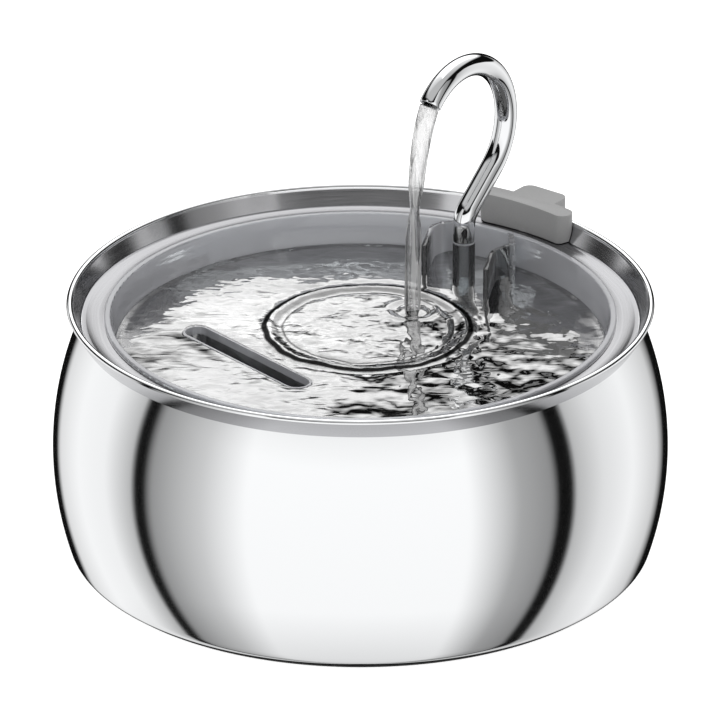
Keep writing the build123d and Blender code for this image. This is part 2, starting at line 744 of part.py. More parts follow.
def make_gland():
    """Rubber gland in the housing's top, bored for the lead."""
    neck = gland_radius - gland_step
    gland = profile(
        (0, pump_top_z - pump_wall), (neck, pump_top_z - pump_wall), (neck, pump_top_z),
        (gland_radius, pump_top_z), (gland_radius - gland_taper, pump_top_z + gland_height),
        (0, pump_top_z + gland_height),
    )  # fmt: skip
    bore = rod(lead_radius, pump_top_z - pump_wall - over, pump_top_z + gland_height + over)
    return Pos(gland_x, 0, 0) * (gland - bore)


def make_hose():
    """Short silicone hose from the pump's nozzle to the riser's foot."""
    inner = tube_r + running_gap
    return Pos(riser_distance, 0, 0) * ring(
        inner + hose_wall, inner, pump_top_z + cover_gap, riser_foot_z + hose_overlap
    )


def in_pump(solid):
    """A pump piece turned to the riser's azimuth."""
    return pump_place * solid


parts = {
    "bowl": make_bowl(),
    "foot_ring": make_foot_ring(),
    "gutter_ring": make_gutter_ring(),
    "drinking_tray": make_tray(),
    "riser_tube": make_riser(),
    "filter_basket": make_basket(),
    "filter_lid": make_filter_lid(),
    "filter_pad": cassette_layer(pad_low_z, lid_low_z - layer_gap),
    "carbon_bed": cassette_layer(carbon_low_z, pad_low_z - layer_gap),
    "resin_bed": cassette_layer(resin_low_z, carbon_low_z - layer_gap),
    "spout_sleeve": make_sleeve(),
    "spout_tube": make_spout(),
    "lead_clip": make_clip(),
    "pump_housing": in_pump(make_pump_housing()),
    "suction_cups": in_pump(make_suction_cups()),
    "volute_plate": in_pump(make_volute_plate()),
    "front_bush": in_pump(make_front_bush()),
    "rear_bush": in_pump(make_rear_bush()),
    "impeller_shaft": in_pump(make_shaft()),
    "impeller_wheel": in_pump(make_impeller()),
    "rotor_magnet": in_pump(make_magnet()),
    "stator_core": in_pump(make_core()),
    "coil_bobbin": in_pump(make_bobbin()),
    "stator_coil": in_pump(make_coil()),
    "driver_board": in_pump(make_board()),
    "potting": in_pump(make_potting()),
    "lead_gland": in_pump(make_gland()),
    "outlet_hose": in_pump(make_hose()),
    "pump_cover": in_pump(make_cover()),
    "pump_sponge": in_pump(make_sponge()),
    "flow_knob": in_pump(make_knob()),
}

os.makedirs("parts", exist_ok=True)
for name, solid in parts.items():
    export_step(solid, f"parts/{name}.step")
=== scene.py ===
"""Looks of a pet water fountain: a drawn steel bowl, a clear drinking tray with running water, a steel
gooseneck and the pump and filter inside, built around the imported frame. Metres, +Z up."""

import math

import bmesh
import bpy
from mathutils import Matrix, Vector, noise


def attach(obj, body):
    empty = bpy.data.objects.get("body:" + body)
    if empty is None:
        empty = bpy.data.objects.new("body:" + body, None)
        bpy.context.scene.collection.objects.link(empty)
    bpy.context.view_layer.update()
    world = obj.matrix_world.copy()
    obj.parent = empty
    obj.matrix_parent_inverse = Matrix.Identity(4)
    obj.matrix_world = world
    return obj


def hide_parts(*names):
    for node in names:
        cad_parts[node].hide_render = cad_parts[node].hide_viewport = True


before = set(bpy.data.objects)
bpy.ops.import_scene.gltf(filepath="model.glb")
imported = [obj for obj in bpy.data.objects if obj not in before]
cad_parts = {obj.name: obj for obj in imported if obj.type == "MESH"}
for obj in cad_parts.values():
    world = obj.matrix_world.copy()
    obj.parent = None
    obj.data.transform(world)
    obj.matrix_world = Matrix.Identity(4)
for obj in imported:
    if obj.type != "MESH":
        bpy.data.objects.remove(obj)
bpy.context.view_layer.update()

bl_info = {
    "name": "Pet Water Fountain",
    "version": (1, 0, 0),
    "blender": (4, 5, 0),
    "location": "View3D > Sidebar > Fountain",
    "description": "Builds the finishes, the water and the stage of a pet water fountain",
    "category": "Add Mesh",
}

MM = 0.001
CAMERA_LENS = 439.6  # mm, with a sensor 36 mm wide
CAMERA_PLACE = Vector((-0.00014, -2.8142, 1.3473))
CAMERA_AIM = Vector((-0.00014, 0, 0.0713))
FLOOR_RADIUS = 1.6


def colour(hex_code):
    """Linear colour with alpha of an sRGB hex code."""
    parts = [int(hex_code[i : i + 2], 16) / 255 for i in (1, 3, 5)]
    return [p / 12.92 if p <= 0.04045 else ((p + 0.055) / 1.055) ** 2.4 for p in parts] + [1.0]


def grey(level):
    """Linear colour of an sRGB grey from 0 to 255."""
    return colour(f"#{level:02x}{level:02x}{level:02x}")


# ---- settings ----
def length(name, description, millimetres):
    """A size that a user may change."""
    return bpy.props.FloatProperty(
        name=name, description=description, default=millimetres * MM, unit="LENGTH", precision=4
    )


def turn(name, description, degrees):
    """An angle that a user may change."""
    return bpy.props.FloatProperty(
        name=name, description=description, default=math.radians(degrees), subtype="ANGLE"
    )


def tint(name, description, hex_code):
    """A colour that a user may change."""
    return bpy.props.FloatVectorProperty(
        name=name,
        description=description,
        default=colour(hex_code),
        size=4,
        subtype="COLOR",
        min=0,
        max=1,
    )


class BowlSizes(bpy.types.PropertyGroup):
    """Sizes of the bowl, its rim and the gutter ring."""

    lip_z: length("Lip height", "Top of the rolled rim", 95)
    belly_radius: length("Belly radius", "Widest outside radius", 108.5)
    belly_z: length("Belly height", "Height of the widest point", 38.7)
    belly_arc: length("Side arc", "Radius of the side's arc, seen from the side", 116.2)
    sheet: length("Sheet", "Thickness of the bowl's steel", 0.8)
    corner: length("Corner", "Radius between side and base", 4)
    rim_height: length("Rim height", "From the neck to the lip", 7)
    rim_width: length("Rim width", "Width of the rolled lip", 2.4)
    rim_flare: length("Rim flare", "How far the lip stands out from the neck", 5.5)
    hem_drop: length("Hem", "From the lip to the hem's lower edge", 7.8)
    hem_stand: length("Hem's stand", "How far the hem's lower edge stands out from the side", 0.95)
    shelf: length("Step", "Flat step inside the neck that the gutter ring rests on", 1.15)
    foot_height: length("Foot height", "Soft ring under the base", 1.2)
    foot_width: length("Foot width", "Soft ring under the base", 7.5)
    ring_sheet: length("Ring sheet", "Thickness of the gutter ring", 0.5)
    ring_edge: length("Ring radius", "Outer edge of the gutter ring", 97.65)
    ring_drop: length("Ring drop", "Ring's outer edge below the lip", 6.45)
    ring_land: length("Outer band", "Flat outer part of the ring", 1.3)
    gutter_width: length("Gutter width", "From the ring's flat lip to its edge", 7.6)
    gutter_drop: length("Gutter depth", "Gutter's low line below the flat lip", 0.25)
    flat_lip: length("Flat lip", "Part of the ring that the tray's bead rests on", 1)
    lead_notch: length("Lead notch", "Width of the ring's notch for the lead", 3.6)
    lead_way: length("Lead way", "Radius from which the notch runs outwards", 94.7)
    lead_side: turn("Lead side", "Direction of the lead's notch, from +X", 52)


class SpoutSizes(bpy.types.PropertyGroup):
    """Sizes of the gooseneck and the standpipe."""

    side: turn("Side", "Direction of the standpipe, from +X", 54.35)
    plane: turn("Plane", "Direction of the spout's own plane, from +X", 51.6)
    distance: length("Distance", "Standpipe's axis from the bowl's axis", 63.158)
    radius: length("Tube radius", "Outside radius of spout and standpipe", 4)
    wall: length("Tube wall", "Wall of spout and standpipe", 0.8)
    spigot: length("Spigot radius", "Swaged foot that stands in the sleeve", 2.6)
    spigot_z: length("Spigot foot", "Lower end of the spigot", 81.7)
    foot_z: length("Foot height", "Where the full tube starts", 94.75)
    bend: length("Foot bend", "Centreline radius of the bend at the foot", 7)
    turn_z: length("Turn height", "Where the upright line meets the leaning one", 104)
    loop_z: length("Loop height", "Centre of the gooseneck's loop", 136.4)
    loop_inset: length("Loop inset", "Centre of the loop, inside the standpipe's axis", 1.2)
    loop_radius: length("Loop radius", "Centreline radius of the loop", 25.2)
    outlet: turn("Outlet", "Angle of the outlet round the loop", 138)


class WaterSizes(bpy.types.PropertyGroup):
    """Sizes of the water in the tray and of the falling stream."""

    level: length("Level", "Height of the water", 78.1)
    floor: length("Floor", "Lower side of the water", 66.08)
    wall_top: length("Wall radius", "Water's radius at its surface", 86.2)
    wall_foot: length("Foot radius", "Water's radius over the tray's fillet", 82.2)
    slot_x: length("Slot X", "Middle of the tray's overflow slot", -39.7)
    slot_y: length("Slot Y", "Middle of the tray's overflow slot", -11.4)
    slot_half: length("Slot half length", "Slot's middle to the centre of its round end", 27.65)
    slot_side: turn("Slot direction", "Direction of the slot, from +X", -50.3)
    ring_radius: length("Ring radius", "Large standing ring", 35)
    ring_x: length("Ring X", "Centre of the large ring", 2.6)
    ring_y: length("Ring Y", "Centre of the large ring", 13)
    splash_radius: length("Splash radius", "Small ring round the stream", 9)
    stream_start: length("Stream start", "Half width at the outlet", 3.6)
    stream_foot: length("Stream foot", "Half width where it lands", 2.9)
    stream_waist: length("Stream waist", "Half width where it turns its narrow side", 1.7)
    stream_reach: length("Stream reach", "How far the stream flies inwards", 9.8)


class Finishes(bpy.types.PropertyGroup):
    """Colours of the finishes."""

    steel: tint("Steel", "Stainless steel", "#E7E8E9")
    brushed: tint("Brushed steel", "Stainless steel of the rim", "#C2C2C4")
    satin: tint("Satin steel", "Stainless steel with a satin grain", "#A2A2A4")
    clear: tint("Clear plastic", "Tint of the clear tray", "#F1F4F5")
    # painted shade: the colour that the clear plastic's grazing edges are painted darker to
    clear_painted_edge_shade: tint("Clear edge", "What the clear plastic's edges darken to", "#6A7074")
    haze: tint("Haze", "Milkiness of the clear plastic", "#F3F4FA")
    silicone: tint("Silicone", "Lead clip", "#A4A4A4")
    soft_clear: tint("Clear silicone", "Sleeve, hose and suction cups", "#DDE1E3")
    rubber: tint("Rubber", "Foot ring and bushes", "#151516")
    housing: tint("Housing", "Pump", "#232325")
    rotor: tint("Rotor plastic", "Impeller", "#E9E9E4")
    filter_shell: tint("Filter shell", "Filter cassette", "#242527")
    fleece: tint("Fleece", "Filter pad", "#EEEFEC")
    foam: tint("Foam", "Pump's sponge", "#2E3033")


# ---- meshes ----
def arc(centre, radius, start, end, steps):
    """Points of an arc in a profile; angles in degrees from the outward direction."""
    turns = [math.radians(start + (end - start) * i / steps) for i in range(steps + 1)]
    return [(centre[0] + radius * math.cos(t), centre[1] + radius * math.sin(t)) for t in turns]


def between(start, end, share):
    """Point of a profile's line, a share of the way along it."""
    return tuple(a + (b - a) * share for a, b in zip(start, end))


def lathe(points, steps):
    """A bmesh spun about Z from the closed profile of (radius, height) points."""
    bm = bmesh.new()
    verts = [bm.verts.new((r, 0, z)) for r, z in points]
    edges = [bm.edges.new(pair) for pair in zip(verts, verts[1:] + verts[:1])]
    bmesh.ops.spin(
        bm,
        geom=verts + edges,
        cent=(0, 0, 0),
        axis=(0, 0, 1),
        angle=2 * math.pi,
        steps=steps,
        use_merge=True,
    )
    return tidied(bm)


def tidied(bm):
    """The same bmesh with doubles merged, strays gone and its faces pointing out."""
    bmesh.ops.remove_doubles(bm, verts=bm.verts, dist=1e-6)
    bmesh.ops.dissolve_degenerate(bm, edges=bm.edges, dist=1e-7)
    loose = [e for e in bm.edges if not e.link_faces]
    bmesh.ops.delete(bm, geom=loose, context="EDGES")
    bmesh.ops.recalc_face_normals(bm, faces=bm.faces)
    return bm


def as_object(name, bm):
    """An object of a bmesh, which it uses up."""
    mesh = bpy.data.meshes.new(name)
    bm.to_mesh(mesh)
    bm.free()
    made = bpy.data.objects.new(name, mesh)
    bpy.context.scene.collection.objects.link(made)
    return made


def smooth(mesh, sharp):
    """Shades a mesh smooth but for edges over sharp degrees."""
    mesh.shade_smooth()
    mesh.set_sharp_from_angle(angle=math.radians(sharp))


def add_piece(name, bm, slot, body, stands_for=(), sharp=35):
    """An object of a bmesh in its finish and on its body, in place of the CAD nodes it stands for."""
    piece = as_object(name, bm)
    smooth(piece.data, sharp)
    piece.data.materials.append(finish(slot))
    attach(piece, body)
    if stands_for:
        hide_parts(*stands_for)
    return piece


def bake(piece, sharp):
    """Applies a piece's modifiers."""
    shown = piece.evaluated_get(bpy.context.evaluated_depsgraph_get())
    mesh = bpy.data.meshes.new_from_object(shown)
    piece.modifiers.clear()
    piece.data = mesh
    smooth(mesh, sharp)


def merged_copy(node):
    """A bmesh of a CAD node with its loose triangles joined up."""
    bm = bmesh.new()
    bm.from_mesh(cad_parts[node].data)
    bmesh.ops.remove_doubles(bm, verts=bm.verts, dist=2e-6)
    return bm


def smooth_copy(node, name, body, slot):
    """Stands for a CAD node with its own mesh joined up and smooth-shaded."""
    add_piece(name, merged_copy(node), slot, body, (node,), 30)


def dress(slot, *nodes):
    """Gives CAD nodes their finish."""
    for node in nodes:
        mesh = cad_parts[node].data
        mesh.materials.clear()
        mesh.materials.append(finish(slot))


# ---- materials ----
def add(tree, kind, sockets=None, **settings):
    """Adds a node with its settings, its sockets' values, and links from nodes or their sockets."""
    node = tree.nodes.new("ShaderNode" + kind)
    for name, value in settings.items():
        setattr(node, name, value)
    for name, value in (sockets or {}).items():
        if isinstance(value, bpy.types.Node):
            value = value.outputs[0]
        if isinstance(value, bpy.types.NodeSocket):
            tree.links.new(value, node.inputs[name])
        else:
            node.inputs[name].default_value = value
    return node


def set_stops(ramp, points):
    """Sets a colour ramp's stops from (position, colour) pairs."""
    elements = ramp.color_ramp.elements
    while len(elements) > 1:
        elements.remove(elements[0])
    elements[0].position, elements[0].color = points[0]
    for position, value in points[1:]:
        elements.new(position).color = value
    return ramp.outputs[0]


def plain(pairs):
    """A ramp's stops of plain numbers from (position, number) pairs."""
    return [(position, [number] * 3 + [1]) for position, number in pairs]


def greys(pairs):
    """A ramp's stops of greys from (position, sRGB level) pairs."""
    return [(position, grey(level)) for position, level in pairs]


def grained_steel(tree, base, along=9.0, across=0.25, roughness=0.07, depth=0.0012):
    """Drawn stainless steel polished on a lathe. Its grain runs round the piece: along and across are a
    scratch's length and width in mm, across wider than a real scratch so that it shows. It breaks up
    the edges of what the steel mirrors."""
    place = add(tree, "TexCoord").outputs["Object"]
    size = (1 / (along * MM), 1 / (along * MM), 1 / (across * MM))
    scratch = add(tree, "Mapping", {"Vector": place, "Scale": size})
    grain = add(tree, "TexNoise", {"Vector": scratch, "Scale": 1.0, "Detail": 3.0})
    least, most = roughness * 0.7, roughness * 1.3
    gloss = add(tree, "MapRange", {"Value": grain, "To Min": least, "To Max": most})
    bump = add(tree, "Bump", {"Height": grain, "Strength": 1.0, "Distance": depth * MM})
    sockets = {"Base Color": base, "Metallic": 1.0, "Roughness": gloss, "Normal": bump}
    return add(tree, "BsdfPrincipled", sockets)


def ringed_steel(tree, base, pitch=0.7, roughness=0.24, depth=0.004):
    """Pressed stainless steel, satin finished on a lathe: fine rings about the bowl's axis, a pitch in
    mm apart, that spread highlights across the ring and leave brush marks."""
    place = add(tree, "TexCoord").outputs["Object"]
    flat = add(tree, "VectorMath", {0: place, 1: (1, 1, 0)}, operation="MULTIPLY")
    radius = add(tree, "VectorMath", {0: flat}, operation="LENGTH").outputs["Value"]
    drift = add(tree, "TexNoise", {"Vector": place, "Scale": 45.0, "Detail": 1.0})
    line = add(tree, "Math", {0: drift, 1: pitch * 2 * MM, 2: radius}, operation="MULTIPLY_ADD")
    wave = {"W": line, "Scale": 1 / (pitch * MM), "Detail": 2.0}
    rings = add(tree, "TexNoise", wave, noise_dimensions="1D")
    least, most = roughness * 0.6, roughness * 1.4
    gloss = add(tree, "MapRange", {"Value": rings, "To Min": least, "To Max": most})
    bump = add(tree, "Bump", {"Height": rings, "Strength": 1.0, "Distance": depth * MM})
    sockets = {"Base Color": base, "Metallic": 1.0, "Roughness": gloss, "Normal": bump}
    return add(tree, "BsdfPrincipled", sockets)


def clear_moulding(
    tree, base, edge, haze, haze_share=0.42, roughness=0.02, ripple=0.02, polished=None
):
    """Clear moulded plastic: it lets light through and mirrors by Fresnel. What shows through it is
    painted darker where the eye grazes a wall, towards edge: painted shade for the dark edges of clear
    plastic. haze is the faint milkiness that catches the light, and ripple the mould's unevenness in
    mm.
    Round the upright line through polished the mould is polished, and the plastic has hardly any haze."""
    place = add(tree, "TexCoord").outputs["Object"]
    flow = add(tree, "TexNoise", {"Vector": place, "Scale": 90.0, "Detail": 1.0})
    bump = add(tree, "Bump", {"Height": flow, "Strength": 1.0, "Distance": ripple * MM})
    facing = add(tree, "LayerWeight", {"Blend": 0.5}).outputs["Facing"]
    # painted shade: what shows through goes from base to grey on faces turned partly away, and to edge
    # where the eye grazes
    stops = [(0.5, base), (0.62, grey(150)), (0.97, edge)]
    shade = set_stops(add(tree, "ValToRGB", {"Fac": facing}), stops)
    if polished:
        # the haze sets in between 17 and 24 mm from the line
        off = add(tree, "VectorMath", {0: place, 1: polished}, operation="SUBTRACT")
        off = add(tree, "VectorMath", {0: off, 1: (1, 1, 0)}, operation="MULTIPLY")
        off = add(tree, "VectorMath", {0: off}, operation="LENGTH").outputs["Value"]
        zone = {"Value": off, "From Min": 17 * MM, "From Max": 24 * MM, "To Min": 0.05}
        haze_share = add(tree, "MapRange", {**zone, "To Max": haze_share})
    through = add(tree, "BsdfTransparent", {"Color": shade})
    milky = add(tree, "BsdfDiffuse", {"Color": haze})
    body = add(tree, "MixShader", {0: haze_share, 1: through, 2: milky})
    mirror = add(tree, "BsdfGlossy", {"Color": grey(255), "Roughness": roughness, "Normal": bump})
    share = add(tree, "Fresnel", {"IOR": 1.55, "Normal": bump})
    return add(tree, "MixShader", {0: share, 1: body, 2: mirror})


def moulded(tree, base, roughness=0.4, grain=0.5, depth=0.01, specks=0.1, metallic=0.0):
    """Moulded plastic, rubber or silicone: a fine tool texture, grain mm across and depth mm deep, with
    a faint mottle that breaks up its sheen."""
    place = add(tree, "TexCoord").outputs["Object"]
    texture = add(tree, "TexNoise", {"Vector": place, "Scale": 1 / (grain * MM), "Detail": 2.0})
    cloud = add(tree, "TexNoise", {"Vector": place, "Scale": 60.0, "Detail": 2.0})
    least, most = roughness * 0.85, roughness * 1.15
    gloss = add(tree, "MapRange", {"Value": cloud, "To Min": least, "To Max": most})
    darker = [c * (1 - specks) for c in base[:3]] + [1.0]
    mottle = set_stops(add(tree, "ValToRGB", {"Fac": texture}), [(0.35, darker), (0.6, base)])
    bump = add(tree, "Bump", {"Height": texture, "Strength": 1.0, "Distance": depth * MM})
    sockets = {"Base Color": mottle, "Metallic": metallic, "Roughness": gloss, "Normal": bump}
    return add(tree, "BsdfPrincipled", sockets)


def grains(tree, base, size=1.2, spread=0.5, roughness=0.5):
    """A bed of loose grains, each size mm across and a little different in shade."""
    place = add(tree, "TexCoord").outputs["Object"]
    cells = add(tree, "TexVoronoi", {"Vector": place, "Scale": 1 / (size * MM)})
    darker = [c * (1 - spread) for c in base[:3]] + [1.0]
    ramp = add(tree, "ValToRGB", {"Fac": cells.outputs["Color"]})
    shade = set_stops(ramp, [(0.2, darker), (0.8, base)])
    relief = {"Height": cells.outputs["Distance"], "Strength": 1.0, "Distance": 0.4 * size * MM}
    bump = add(tree, "Bump", relief, invert=True)
    sockets = {"Base Color": shade, "Roughness": roughness, "Normal": bump}
    return add(tree, "BsdfPrincipled", sockets)


def running_water(tree):
    """Water in the tray: a sharp mirror over what lies under it. The pump's flow leans it a little, so
    that it mirrors the light left of its middle and the dark on the right and along the back. What
    shows
    through it is painted light and shade: lighter left of the middle, darker on the right and along the
    back, and dark on the standing ring's slopes. Its ripples are about 9 mm across and 5 mm from front
    to back."""
    sizes = bpy.context.scene.fountain_water
    place = add(tree, "TexCoord").outputs["Object"]
    # how far a point lies towards the dark side: across, and more along the back and front
    x, y, _ = add(tree, "SeparateXYZ", {0: place}).outputs
    across = add(tree, "MapRange", {"Value": x, "From Min": -90 * MM, "From Max": 90 * MM})
    back = {"Value": y, "From Min": 36 * MM, "From Max": 62 * MM, "To Max": 0.3}
    front = {"Value": y, "From Min": -10 * MM, "From Max": -70 * MM, "To Max": 0.16}
    drift = add(tree, "TexNoise", {"Vector": place, "Scale": 45.0, "Detail": 2.0})
    side = add(tree, "Math", {0: drift, 1: 0.3, 2: -0.15}, operation="MULTIPLY_ADD")
    for share in (add(tree, "MapRange", back), add(tree, "MapRange", front), across):
        side = add(tree, "Math", {0: side, 1: share})
    # chop, calm at both sides, on a surface that leans
    leans = [(0.0, 0.85), (0.15, 0.72), (0.25, 0.44), (0.5, 0.40), (0.6, 0.85), (1.0, 0.95)]
    lean = set_stops(add(tree, "ValToRGB", {"Fac": side}), plain(leans))
    lean = add(tree, "Math", {0: lean, 1: 0.16, 2: -0.08}, operation="MULTIPLY_ADD")
    drawn = add(tree, "Mapping", {"Vector": place, "Scale": (115.0, 215.0, 200.0)})
    chop = {"Vector": drawn, "Scale": 1.0, "Detail": 1.5, "Roughness": 0.5, "Distortion": 0.6}
    calms = [(0.0, 0.3), (0.2, 0.45), (0.3, 1.0), (0.55, 0.9), (0.62, 0.38), (1.0, 0.35)]
    calm = set_stops(add(tree, "ValToRGB", {"Fac": side}), plain(calms))
    relief = {"Height": add(tree, "TexNoise", chop), "Strength": calm, "Distance": 0.36 * MM}
    slope = add(tree, "CombineXYZ", {1: lean})
    leant = add(tree, "VectorMath", {0: add(tree, "Bump", relief), 1: slope}, operation="ADD")
    normal = add(tree, "VectorMath", {0: leant}, operation="NORMALIZE")
    # painted shade: bands on the slopes of the standing ring, 27 to 39 mm from its centre, are painted
    # dark, both in what shows through and in what the water mirrors
    middle = (sizes.ring_x, sizes.ring_y, 0)
    flat = add(tree, "VectorMath", {0: place, 1: (1, 1, 0)}, operation="MULTIPLY")
    out = add(tree, "VectorMath", {0: flat, 1: middle}, operation="SUBTRACT")
    reach = add(tree, "VectorMath", {0: out}, operation="LENGTH").outputs["Value"]
    wander = add(tree, "TexNoise", {"Vector": place, "Scale": 90.0, "Detail": 1.0})
    wander = add(tree, "Math", {0: wander, 1: 2.4 * MM, 2: -1.2 * MM}, operation="MULTIPLY_ADD")
    reach = add(tree, "Math", {0: reach, 1: wander})
    reach = add(tree, "MapRange", {"Value": reach, "From Min": 27 * MM, "From Max": 39 * MM})
    painted_ring_stops = [(0.2, 1), (0.25, 0.25), (0.31, 1), (0.36, 1), (0.44, 0.55), (0.56, 0.6), (0.6, 1)]
    painted_ring_stops += [(0.68, 1), (0.72, 0.03), (0.84, 0.03), (0.9, 1)]
    painted_ring_shade = set_stops(add(tree, "ValToRGB", {"Fac": reach}), plain(painted_ring_stops))
    # painted light and shade: what shows through is lighter on the left and darker on the right and
    # along the back
    painted_under_shades = [(0.0, 205), (0.2, 200), (0.32, 225), (0.5, 205), (0.6, 150), (0.8, 120), (1.0, 130)]
    under = set_stops(add(tree, "ValToRGB", {"Fac": side}), greys(painted_under_shades))
    under = add(tree, "VectorMath", {0: under, 1: painted_ring_shade}, operation="MULTIPLY")
    through = add(tree, "BsdfTransparent", {"Color": under})
    # painted shade: the mirror is painted darker on the ring's slopes too
    mirror = add(tree, "BsdfGlossy", {"Color": painted_ring_shade, "Roughness": 0.0, "Normal": normal})
    fresnel = add(tree, "Fresnel", {"IOR": 1.33, "Normal": normal})
    share = add(tree, "Math", {0: fresnel, 1: 3.6, 2: 0.12}, operation="MULTIPLY_ADD", use_clamp=True)
    return add(tree, "MixShader", {0: share, 1: through, 2: mirror})


def falling_water(tree):
    """The stream: drawn out into bright and grey threads as it falls, about 2 mm across and 40 mm long,
    and painted darker where the eye grazes its sides: painted shade for the dark edges of clear water."""
    place = add(tree, "TexCoord").outputs["Object"]
    drawn = add(tree, "Mapping", {"Vector": place, "Scale": (480.0, 480.0, 26.0)})
    threads = add(tree, "TexNoise", {"Vector": drawn, "Scale": 1.0, "Detail": 1.0, "Distortion": 0.5})
    bump = add(tree, "Bump", {"Height": threads, "Strength": 1.0, "Distance": 0.6 * MM})
    facing = add(tree, "LayerWeight", {"Blend": 0.5, "Normal": bump}).outputs["Facing"]
    tone = add(tree, "Math", {0: facing, 1: 0.5, 2: threads}, operation="MULTIPLY_ADD")
    # painted shade: what shows through turns grey and dark where the eye grazes the sides, over the
    # threads' own light and grey
    thread_and_painted_edge_tones = [(0.45, 255), (0.6, 222), (0.72, 250), (0.85, 120), (1.0, 40)]
    shade = set_stops(add(tree, "ValToRGB", {"Fac": tone}), greys(thread_and_painted_edge_tones))
    through = add(tree, "BsdfTransparent", {"Color": shade})
    foam = add(tree, "BsdfDiffuse", {"Color": grey(252)})
    streaks = set_stops(add(tree, "ValToRGB", {"Fac": threads}), greys([(0.42, 190), (0.52, 60)]))
    body = add(tree, "MixShader", {0: streaks, 1: through, 2: foam})
    mirror = add(tree, "BsdfGlossy", {"Color": grey(255), "Roughness": 0.02, "Normal": bump})
    fresnel = add(tree, "Fresnel", {"IOR": 1.33, "Normal": bump})
    share = add(tree, "Math", {0: fresnel, 1: 1.5, 2: 0.18}, operation="MULTIPLY_ADD", use_clamp=True)
    return add(tree, "MixShader", {0: share, 1: body, 2: mirror})


def white_paper(tree):
    """Floor of matt white paper with fibres about 1 mm long, lifted to white for the eye alone."""
    place = add(tree, "TexCoord").outputs["Object"]
    fibres = add(tree, "TexNoise", {"Vector": place, "Scale": 800.0})
    shade = set_stops(add(tree, "ValToRGB", {"Fac": fibres}), greys([(0.3, 228), (0.7, 232)]))
    matt = add(tree, "BsdfDiffuse", {"Color": shade})
    glow = add(tree, "Emission", {"Color": grey(255), "Strength": 0.72})
    lifted = add(tree, "AddShader", {0: matt, 1: glow})
    eye = add(tree, "LightPath").outputs["Is Camera Ray"]
    return add(tree, "MixShader", {0: eye, 1: matt, 2: lifted})


def new_material(name, maker, settings):
    """A material of the nodes that its maker adds."""
    material = bpy.data.materials.new(name)
    material.use_nodes = True
    tree = material.node_tree
    tree.nodes.clear()
    # a colour property is only a view of the scene's settings, so it goes in as a list
    values = {k: list(v) if hasattr(v, "__len__") else v for k, v in settings.items()}
    add(tree, "OutputMaterial", {"Surface": maker(tree, **values)})
    return material


def standpipe_foot():
    """Point on the bowl's base under the standpipe."""
    s = bpy.context.scene.fountain_spout
    return Vector((s.distance * math.cos(s.side), s.distance * math.sin(s.side), 0))


def finish(slot):
    """The material of a slot of the record, of the rim or of the water, made when first asked for."""
    shades = bpy.context.scene.fountain_finishes
    # edge is the painted shade of the clear walls' grazing edges
    walls = dict(edge=shades.clear_painted_edge_shade, haze=shades.haze)
    finishes = {
        "bowl_steel": ("Drawn stainless steel", grained_steel, dict(base=shades.steel)),
        "spout_steel": (
            "Polished stainless steel",
            grained_steel,
            dict(base=shades.steel, along=4, roughness=0.03, depth=0.0004),
        ),
        "rim_steel": (
            "Brushed stainless steel",
            grained_steel,
            dict(base=shades.brushed, along=16, across=0.3, roughness=0.15, depth=0.002),
        ),
        "gutter_steel": ("Satin stainless steel", ringed_steel, dict(base=shades.satin)),
        "clear_plastic": (
            "Clear moulded plastic",
            clear_moulding,
            dict(base=shades.clear, polished=standpipe_foot(), **walls),
        ),
        "clear_silicone": (
            "Clear silicone",
            clear_moulding,
            dict(base=shades.soft_clear, roughness=0.15, ripple=0.1, **walls),
        ),
        "clip_silicone": (
            "Grey moulded silicone",
            moulded,
            dict(base=shades.silicone, roughness=0.45, grain=0.6, depth=0.008, specks=0.04),
        ),
        "black_rubber": ("Black rubber", moulded, dict(base=shades.rubber, roughness=0.7)),
        "pump_plastic": ("Black moulded ABS", moulded, dict(base=shades.housing, roughness=0.38)),
        "impeller_plastic": ("White acetal", moulded, dict(base=shades.rotor, roughness=0.3)),
        "bobbin_plastic": ("Natural nylon", moulded, dict(base=colour("#D9D2BE"), roughness=0.45)),
        "filter_plastic": ("Dark polypropylene", moulded, dict(base=shades.filter_shell)),
        "filter_fleece": (
            "Polyester fleece",
            moulded,
            dict(base=shades.fleece, roughness=0.95, depth=0.4, specks=0.25),
        ),
        "carbon_granules": ("Carbon granules", grains, dict(base=colour("#232323"), roughness=0.35)),
        "resin_beads": ("Ion exchange resin beads", grains, dict(base=colour("#C99A4A"), size=0.9)),
        "foam": (
            "Open cell foam",
            grains,
            dict(base=shades.foam, size=1.4, spread=0.75, roughness=0.95),
        ),
        "magnet_ferrite": ("Sintered ferrite", moulded, dict(base=colour("#3B3B3E"), roughness=0.55)),
        "shaft_ceramic": (
            "Ground ceramic",
            moulded,
            dict(base=colour("#F2F1EC"), roughness=0.2, grain=0.2),
        ),
        "core_iron": (
            "Laminated iron",
            moulded,
            dict(base=colour("#8B8C8F"), roughness=0.45, metallic=1.0, specks=0.4),
        ),
        "copper": (
            "Enamelled copper wire",
            moulded,
            dict(
                base=colour("#B4683B"), roughness=0.3, metallic=1.0, grain=0.3, depth=0.1, specks=0.4
            ),
        ),
        "board_green": ("Circuit board", moulded, dict(base=colour("#1F5A36"), roughness=0.35)),
        "potting_resin": (
            "Potting resin",
            moulded,
            dict(base=colour("#1B1B1D"), roughness=0.15, depth=0.002),
        ),
        "water": ("Running water", running_water, {}),
        "stream": ("Falling water", falling_water, {}),
    }
    name, maker, settings = finishes[slot]
    return bpy.data.materials.get(name) or new_material(name, maker, settings)


